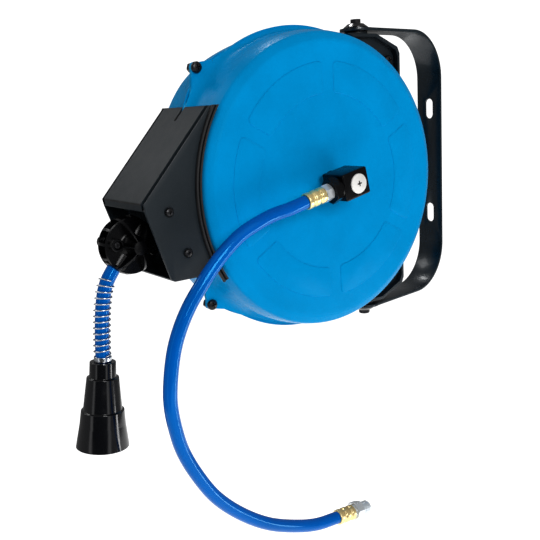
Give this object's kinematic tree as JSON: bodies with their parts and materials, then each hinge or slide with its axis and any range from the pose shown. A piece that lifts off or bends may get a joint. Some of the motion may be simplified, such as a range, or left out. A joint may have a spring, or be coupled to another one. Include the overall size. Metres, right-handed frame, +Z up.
{
  "type": "air hose reel",
  "caption": "Enclosed wall-mounted air hose reel: round steel housing on a swinging U bracket, inlet hose on a side swivel, outlet nose with ball stop and bell.",
  "frame": {"origin": "middle of the wall bracket's back face, where it meets the wall", "axes": "+Y into the wall, +Z up, +X to the side of the air inlet; the hose leaves towards -Y and down"},
  "size_m": [0.153, 0.4552, 0.4906],
  "materials": {
    "blue_powder_coat": "satin powder coat",
    "black_plastic": "moulded, fine matt",
    "glossy_black": "polished",
    "dark_coated_steel": "dark powder coat",
    "black_rubber": "matt",
    "blue_hose": "glossy polyurethane",
    "brass": "turned and crimped",
    "zinc_plated_steel": "bright zinc plate",
    "black_screw": "black oxide",
    "spring_steel": "oiled"
  },
  "bodies": {
    "bracket": {"wall_bracket": "dark_coated_steel", "upper_pivot_bush": "glossy_black", "lower_pivot_bush": "glossy_black"},
    "reel": {"front_shell": "blue_powder_coat", "rear_shell": "blue_powder_coat", "upper_pivot_lug": "black_plastic", "lower_pivot_lug": "black_plastic", "upper_thrust_washer": "black_plastic", "lower_thrust_washer": "black_plastic", "upper_pivot_bolt": "black_screw", "lower_pivot_bolt": "black_screw", "upper_pivot_nut": "zinc_plated_steel", "lower_pivot_nut": "zinc_plated_steel", "upper_lug_screw": "black_screw", "upper_lug_nut": "black_screw", "upper_ear_screw": "black_screw", "upper_ear_nut": "black_screw", "lower_lug_screw": "black_screw", "lower_lug_nut": "black_screw", "lower_ear_screw": "black_screw", "lower_ear_nut": "black_screw", "nose_housing": "black_plastic", "front_nose_seal": "black_rubber", "rear_nose_seal": "black_rubber", "mouth_plate": "black_plastic", "guide_screw_1": "black_screw", "guide_screw_2": "black_screw", "guide_screw_3": "black_screw", "guide_screw_4": "black_screw", "front_stopper_half": "black_plastic", "rear_stopper_half": "black_plastic", "stopper_screw_1": "zinc_plated_steel", "stopper_screw_2": "zinc_plated_steel", "hose_lead": "blue_hose", "outlet_hose": "blue_hose", "spring_guard": "spring_steel", "guard_ferrule": "zinc_plated_steel", "end_bell": "glossy_black", "coupler": "zinc_plated_steel", "front_bush": "glossy_black", "spring_arbor": "dark_coated_steel", "arbor_nut": "black_screw", "latch_pin": "zinc_plated_steel"},
    "drum": {"hose_drum": "black_plastic", "drum_rear_flange": "black_plastic", "wound_hose": "blue_hose", "hollow_shaft": "brass", "swivel_screw": "zinc_plated_steel", "clock_spring": "spring_steel", "spring_cover": "dark_coated_steel", "ratchet_ring": "dark_coated_steel"},
    "inlet": {"swivel_block": "black_plastic", "swivel_o_ring": "black_rubber", "inlet_adapter": "black_plastic", "inlet_nipple": "zinc_plated_steel", "inlet_ferrule": "brass", "inlet_hose": "blue_hose", "end_ferrule": "brass", "end_fitting": "zinc_plated_steel"},
    "pawl": {"latch_pawl": "zinc_plated_steel"}
  },
  "joints": [
    {"name": "bracket_swing", "type": "hinge", "parent": "bracket", "child": "reel", "pos_m": [0, -0.1284, 0], "axis": [0, 0, 1], "range_deg": [-81.5, 98.5]},
    {"name": "drum_spin", "type": "hinge", "parent": "reel", "child": "drum", "pos_m": [-0.01143, -0.20485, 0], "axis": [0.989, -0.1478, 0], "range_deg": [0, 5040], "stiffness_Nm_per_rad": 0.02},
    {"name": "inlet_swivel", "type": "hinge", "parent": "reel", "child": "inlet", "pos_m": [0.05583, -0.2149, 0], "axis": [0.989, -0.1478, 0], "range_deg": [-90, 35]},
    {"name": "latch_swing", "type": "hinge", "parent": "reel", "child": "pawl", "pos_m": [0.0295, -0.17052, 0.046], "axis": [0.989, -0.1478, 0], "range_deg": [-8, 8], "stiffness_Nm_per_rad": 0.01}
  ]
}
